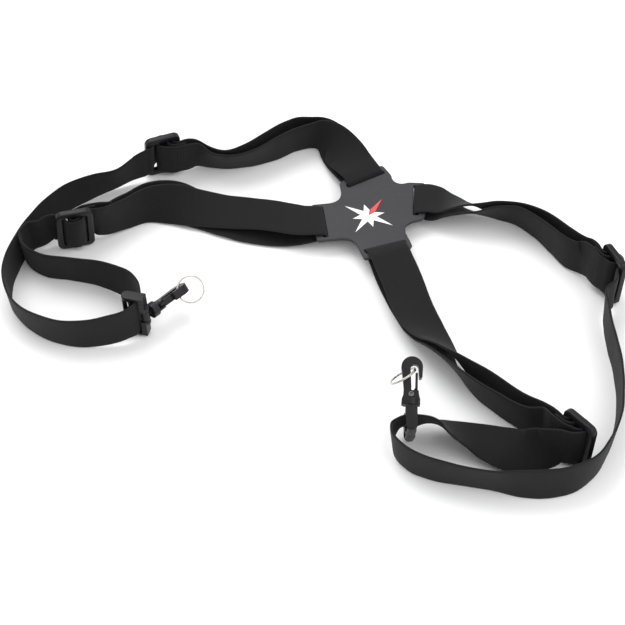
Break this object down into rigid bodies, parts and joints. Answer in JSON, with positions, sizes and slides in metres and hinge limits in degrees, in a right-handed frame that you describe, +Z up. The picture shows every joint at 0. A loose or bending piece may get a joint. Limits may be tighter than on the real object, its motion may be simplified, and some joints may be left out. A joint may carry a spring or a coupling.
{
  "type": "binocular harness",
  "caption": "Figure-eight elastic harness with a cross-shaped back pad, webbing sliders and swivel snap hooks that hold binoculars against the chest.",
  "frame": {"origin": "middle of the footprint of the laid-out harness, on the surface it lies on", "axes": "+Z up off the surface, +X across the harness towards the side whose slider stands by itself, -Y towards the snap hooks"},
  "size_m": [0.3732, 0.2944, 0.0371],
  "materials": {
    "pad_leather": "matte synthetic leather, fine grain",
    "pad_lining": "dense woven lining",
    "print_white": "raised screen print",
    "print_red": "raised screen print",
    "elastic_webbing": "ribbed elastic webbing with a woven selvedge",
    "hook_plastic": "satin moulded acetal",
    "rivet_metal": "dark plated steel",
    "ring_steel": "nickel-plated spring steel"
  },
  "bodies": {
    "harness": {"pad_face": "pad_leather", "pad_lining": "pad_lining", "emblem_star": "print_white", "emblem_needle": "print_red", "left_shoulder_webbing": "elastic_webbing", "left_side_webbing": "elastic_webbing", "left_front_webbing": "elastic_webbing", "right_shoulder_webbing": "elastic_webbing", "right_side_webbing": "elastic_webbing", "right_front_webbing": "elastic_webbing"},
    "left_shoulder_adjuster": {"left_shoulder_slider": "hook_plastic", "left_shoulder_pass": "elastic_webbing", "left_shoulder_wrap": "elastic_webbing"},
    "left_side_adjuster": {"left_side_slider": "hook_plastic", "left_side_pass": "elastic_webbing", "left_side_wrap": "elastic_webbing"},
    "right_shoulder_adjuster": {"right_shoulder_slider": "hook_plastic", "right_shoulder_pass": "elastic_webbing", "right_shoulder_wrap": "elastic_webbing"},
    "right_side_adjuster": {"right_side_slider": "hook_plastic", "right_side_pass": "elastic_webbing", "right_side_wrap": "elastic_webbing"},
    "left_keeper_loop": {"left_keeper": "hook_plastic"},
    "left_swivel_post": {"left_swivel": "hook_plastic"},
    "left_snap_hook": {"left_hook": "hook_plastic", "left_rivet": "rivet_metal"},
    "left_snap_gate": {"left_gate": "hook_plastic"},
    "left_split_ring": {"left_ring": "ring_steel"},
    "right_keeper_loop": {"right_keeper": "hook_plastic"},
    "right_swivel_post": {"right_swivel": "hook_plastic"},
    "right_snap_hook": {"right_hook": "hook_plastic", "right_rivet": "rivet_metal"},
    "right_snap_gate": {"right_gate": "hook_plastic"},
    "right_split_ring": {"right_ring": "ring_steel"}
  },
  "joints": [
    {"name": "left_shoulder_adjust", "type": "slide", "parent": "harness", "child": "left_shoulder_adjuster", "axis": [0.9336, 0.3584, 0], "range_m": [-0.003, 0.003]},
    {"name": "left_side_adjust", "type": "slide", "parent": "harness", "child": "left_side_adjuster", "axis": [-0.9703, -0.2419, 0], "range_m": [-0.003, 0.003]},
    {"name": "right_shoulder_adjust", "type": "slide", "parent": "harness", "child": "right_shoulder_adjuster", "axis": [0.4067, -0.9135, 0], "range_m": [-0.003, 0.003]},
    {"name": "right_side_adjust", "type": "slide", "parent": "harness", "child": "right_side_adjuster", "axis": [0.6428, -0.766, 0], "range_m": [-0.003, 0.003]},
    {"name": "left_keeper_slide", "type": "slide", "parent": "harness", "child": "left_keeper_loop", "axis": [0.2588, 0.9659, 0], "range_m": [-0.002, 0.002]},
    {"name": "left_swivel_turn", "type": "hinge", "parent": "left_keeper_loop", "child": "left_swivel_post", "pos_m": [-0.09878, -0.02259, 0.01663], "axis": [-0.0506, 0.0135, 0.9986], "range_deg": [-110, 8]},
    {"name": "left_hook_spin", "type": "hinge", "parent": "left_swivel_post", "child": "left_snap_hook", "pos_m": [-0.09878, -0.02259, 0.01663], "axis": [0.7064, 0.7073, 0.0262], "continuous": true},
    {"name": "left_gate_press", "type": "hinge", "parent": "left_snap_hook", "child": "left_snap_gate", "pos_m": [-0.09178, -0.01559, 0.01688], "axis": [-0.4925, 0.4647, 0.7359], "range_deg": [0, 10], "stiffness_Nm_per_rad": 0.01, "springref_deg": -5.73},
    {"name": "left_ring_swing", "type": "hinge", "parent": "left_snap_hook", "child": "left_split_ring", "pos_m": [-0.08083, -0.00485, 0.01947], "axis": [0.0284, -0.7615, -0.6475], "range_deg": [-60, 30]},
    {"name": "right_keeper_slide", "type": "slide", "parent": "harness", "child": "right_keeper_loop", "axis": [-1, 0, 0], "range_m": [-0.002, 0.002]},
    {"name": "right_swivel_turn", "type": "hinge", "parent": "right_keeper_loop", "child": "right_swivel_post", "pos_m": [0.05439, -0.10107, 0.0208], "axis": [0, -0.4384, 0.8988], "range_deg": [-50, 50]},
    {"name": "right_hook_spin", "type": "hinge", "parent": "right_swivel_post", "child": "right_snap_hook", "pos_m": [0.05439, -0.10107, 0.0208], "axis": [0.0523, 0.8976, 0.4378], "continuous": true},
    {"name": "right_gate_press", "type": "hinge", "parent": "right_snap_hook", "child": "right_snap_gate", "pos_m": [0.0549, -0.09218, 0.02513], "axis": [0, -0.4384, 0.8988], "range_deg": [0, 10], "stiffness_Nm_per_rad": 0.01, "springref_deg": -5.73},
    {"name": "right_ring_swing", "type": "hinge", "parent": "right_snap_hook", "child": "right_split_ring", "pos_m": [0.05742, -0.07799, 0.03139], "axis": [-0.0672, 0.7921, -0.6067], "range_deg": [-5, 45]}
  ]
}
